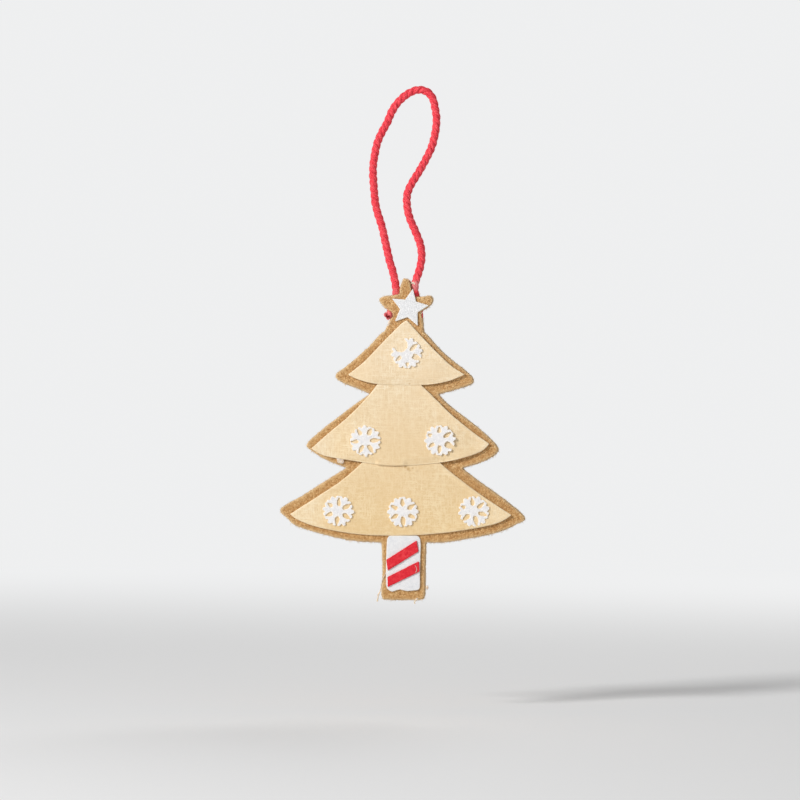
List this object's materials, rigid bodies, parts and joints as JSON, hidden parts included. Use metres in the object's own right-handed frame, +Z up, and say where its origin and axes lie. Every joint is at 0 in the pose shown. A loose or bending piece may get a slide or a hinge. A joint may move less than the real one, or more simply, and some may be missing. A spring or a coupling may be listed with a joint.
{
  "type": "christmas ornament",
  "caption": "Flat felt tree ornament in layers, with a star, snowflakes and a striped trunk, hanging from a twisted red cord loop.",
  "frame": {"origin": "inside top of the hanging loop, where a hook bears", "axes": "+Z up, the decorated front faces -Y, +X to the viewer's right"},
  "size_m": [0.0979, 0.0097, 0.2052],
  "materials": {
    "brown_felt": "thick caramel-brown craft felt, matte, with fuzzy cut edges",
    "cream_felt": "thin smooth cream felt, matte, finely mottled",
    "white_felt": "thin white felt, matte, soft cut edges",
    "red_felt": "thin red felt, matte",
    "red_cord": "soft red cord twisted from several strands",
    "dried_glue": "dried hot-melt glue, milky and slightly glossy"
  },
  "bodies": {
    "loop": {"hanging_loop": "red_cord"},
    "tree": {"back_felt": "brown_felt", "front_felt": "brown_felt", "bottom_tier": "cream_felt", "middle_tier": "cream_felt", "top_tier": "cream_felt", "star": "white_felt", "trunk_patch": "white_felt", "top_snowflake": "white_felt", "middle_left_snowflake": "white_felt", "middle_right_snowflake": "white_felt", "bottom_left_snowflake": "white_felt", "bottom_centre_snowflake": "white_felt", "bottom_right_snowflake": "white_felt", "upper_stripe": "red_felt", "lower_stripe": "red_felt", "left_cord_end": "red_cord", "right_cord_end": "red_cord", "head_glue": "dried_glue", "top_tier_glue": "dried_glue", "middle_tier_glue": "dried_glue", "bottom_left_glue": "dried_glue", "bottom_right_glue": "dried_glue", "trunk_glue": "dried_glue"}
  },
  "joints": [
    {"name": "tree_swing", "type": "hinge", "parent": "loop", "child": "tree", "pos_m": [-0.006, 0, -0.072], "axis": [1, 0, 0], "range_deg": [-90, 90]}
  ]
}
